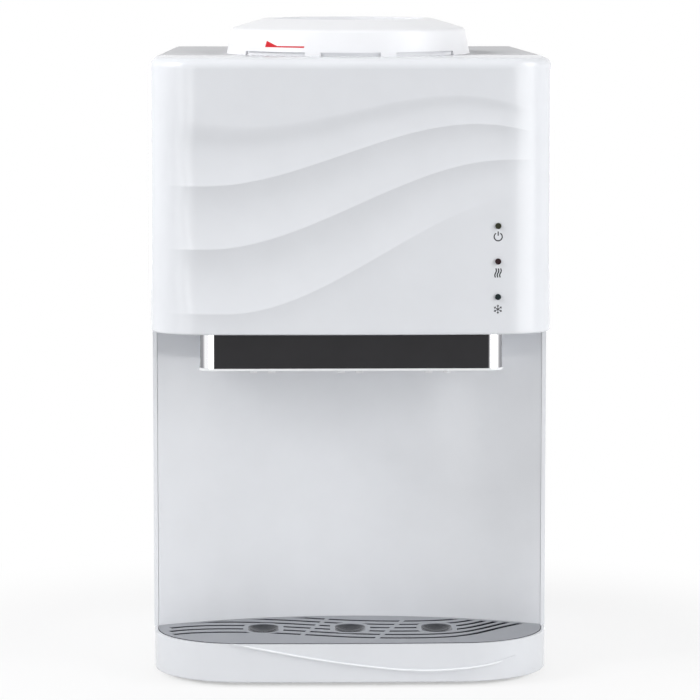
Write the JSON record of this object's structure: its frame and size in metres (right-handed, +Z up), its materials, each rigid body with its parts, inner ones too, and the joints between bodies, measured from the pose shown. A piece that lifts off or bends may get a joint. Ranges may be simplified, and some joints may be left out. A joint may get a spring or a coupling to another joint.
{
  "type": "countertop water dispenser",
  "caption": "Countertop water dispenser for an upturned bottle: bowed front cover, tap bar with hot, warm and cold push levers, hollowed alcove and lift-out drip tray.",
  "frame": {"origin": "on the table under the middle of the body's outline", "axes": "+Z up, -Y towards the user, +X to the user's right"},
  "size_m": [0.31, 0.32, 0.5135],
  "materials": {
    "white_shell": "satin gloss moulded plastic",
    "base_white": "satin gloss moulded plastic",
    "side_white": "fine textured moulded plastic",
    "top_grey": "satin gloss moulded plastic",
    "collar_white": "gloss moulded plastic",
    "mark_red": "gloss inlay",
    "strip_black": "piano black gloss",
    "chrome_trim": "plated",
    "lever_white": "gloss moulded plastic",
    "valve_plastic": "moulded food plastic",
    "grille_grey": "fine textured moulded plastic",
    "pan_grey": "fine textured moulded plastic",
    "lens_dark": "clear tinted lens",
    "steel": "brushed",
    "sheet_steel": "powder coat",
    "aluminium": "extruded",
    "module_white": "fired",
    "foam": "moulded closed cell",
    "wool": "needled felt",
    "silicone": "translucent silicone",
    "black_plastic": "moulded",
    "rocker_red": "gloss",
    "rocker_green": "gloss",
    "board_green": "lacquered laminate",
    "rubber_dark": "matt"
  },
  "bodies": {
    "housing": {"base_tray": "base_white", "feet": "rubber_dark", "splash_panel": "white_shell", "front_cover": "white_shell", "left_side_panel": "side_white", "right_side_panel": "side_white", "rear_panel": "sheet_steel", "rear_screws": "steel", "top_cover": "top_grey", "tap_shelf": "white_shell", "tap_housing": "lever_white", "tap_strip": "strip_black", "strip_ends": "chrome_trim", "faucet_bonnets": "valve_plastic", "lever_pins": "steel", "indicator_lenses": "lens_dark", "indicator_board": "board_green", "cold_tank": "steel", "cold_tank_lid": "white_shell", "tank_foam": "foam", "mid_frame": "black_plastic", "cold_block": "aluminium", "peltier_module": "module_white", "heat_sink": "aluminium", "fan_frame": "black_plastic", "hot_tank": "steel", "heater_band": "steel", "hot_tank_wool": "wool", "hot_thermostats": "black_plastic", "cold_hose": "silicone", "warm_hose": "silicone", "hot_hose": "silicone", "feed_hose": "silicone", "drain_hose": "silicone", "drain_fitting": "valve_plastic", "switch_frames": "black_plastic", "cord_gland": "black_plastic", "power_board": "board_green", "board_components": "black_plastic", "hot_faucet": "valve_plastic", "warm_faucet": "valve_plastic", "cold_faucet": "valve_plastic"},
    "bottle_seat": {"bottle_collar": "collar_white", "collar_mark": "mark_red", "neck_cup": "collar_white", "neck_funnel": "collar_white", "water_probe": "collar_white", "seat_seal": "silicone"},
    "drip_pan": {"drip_pan": "pan_grey"},
    "drip_grille": {"drip_grille": "grille_grey"},
    "fan": {"fan_rotor": "black_plastic"},
    "heat_switch": {"heat_rocker": "rocker_red"},
    "cool_switch": {"cool_rocker": "rocker_green"},
    "drain_plug": {"drain_cap": "black_plastic"},
    "hot_tap_lever": {"hot_lever": "lever_white"},
    "hot_tap_stem": {"hot_stem": "valve_plastic"},
    "warm_tap_lever": {"warm_lever": "lever_white"},
    "warm_tap_stem": {"warm_stem": "valve_plastic"},
    "cold_tap_lever": {"cold_lever": "lever_white"},
    "cold_tap_stem": {"cold_stem": "valve_plastic"}
  },
  "joints": [
    {"name": "bottle_seat_lift", "type": "slide", "parent": "housing", "child": "bottle_seat", "axis": [0, 0, 1], "range_m": [0, 0.06]},
    {"name": "drip_pan_lift", "type": "slide", "parent": "housing", "child": "drip_pan", "axis": [0, 0, 1], "range_m": [0, 0.045]},
    {"name": "drip_grille_lift", "type": "slide", "parent": "drip_pan", "child": "drip_grille", "axis": [0, 0, 1], "range_m": [0, 0.04]},
    {"name": "hot_lever_tilt", "type": "hinge", "parent": "housing", "child": "hot_tap_lever", "pos_m": [-0.0685, -0.116, 0.256], "axis": [1, 0, 0], "range_deg": [0, 14.4], "stiffness_Nm_per_rad": 0.3},
    {"name": "hot_stem_lift", "type": "slide", "parent": "housing", "child": "hot_tap_stem", "axis": [0, 0, 1], "range_m": [0, 0.00293]},
    {"name": "warm_lever_tilt", "type": "hinge", "parent": "housing", "child": "warm_tap_lever", "pos_m": [0, -0.116, 0.256], "axis": [1, 0, 0], "range_deg": [0, 14.4], "stiffness_Nm_per_rad": 0.3},
    {"name": "warm_stem_lift", "type": "slide", "parent": "housing", "child": "warm_tap_stem", "axis": [0, 0, 1], "range_m": [0, 0.00293]},
    {"name": "cold_lever_tilt", "type": "hinge", "parent": "housing", "child": "cold_tap_lever", "pos_m": [0.0685, -0.116, 0.256], "axis": [1, 0, 0], "range_deg": [0, 14.4], "stiffness_Nm_per_rad": 0.3},
    {"name": "cold_stem_lift", "type": "slide", "parent": "housing", "child": "cold_tap_stem", "axis": [0, 0, 1], "range_m": [0, 0.00293]},
    {"name": "fan_spin", "type": "hinge", "parent": "housing", "child": "fan", "pos_m": [0, 0.1155, 0.3845], "axis": [0, 1, 0], "continuous": true},
    {"name": "heat_rocker_tilt", "type": "hinge", "parent": "housing", "child": "heat_switch", "pos_m": [0.075, 0.148, 0.215], "axis": [1, 0, 0], "range_deg": [0, 16]},
    {"name": "cool_rocker_tilt", "type": "hinge", "parent": "housing", "child": "cool_switch", "pos_m": [0.105, 0.148, 0.215], "axis": [1, 0, 0], "range_deg": [0, 16]},
    {"name": "drain_cap_pull", "type": "slide", "parent": "housing", "child": "drain_plug", "axis": [0, 1, 0], "range_m": [0, 0.012]}
  ],
  "couplings": [
    {"joint": "hot_lever_tilt", "follows": "hot_stem_lift", "rad_per_m": 83.333},
    {"joint": "warm_lever_tilt", "follows": "warm_stem_lift", "rad_per_m": 83.333},
    {"joint": "cold_lever_tilt", "follows": "cold_stem_lift", "rad_per_m": 83.333}
  ]
}
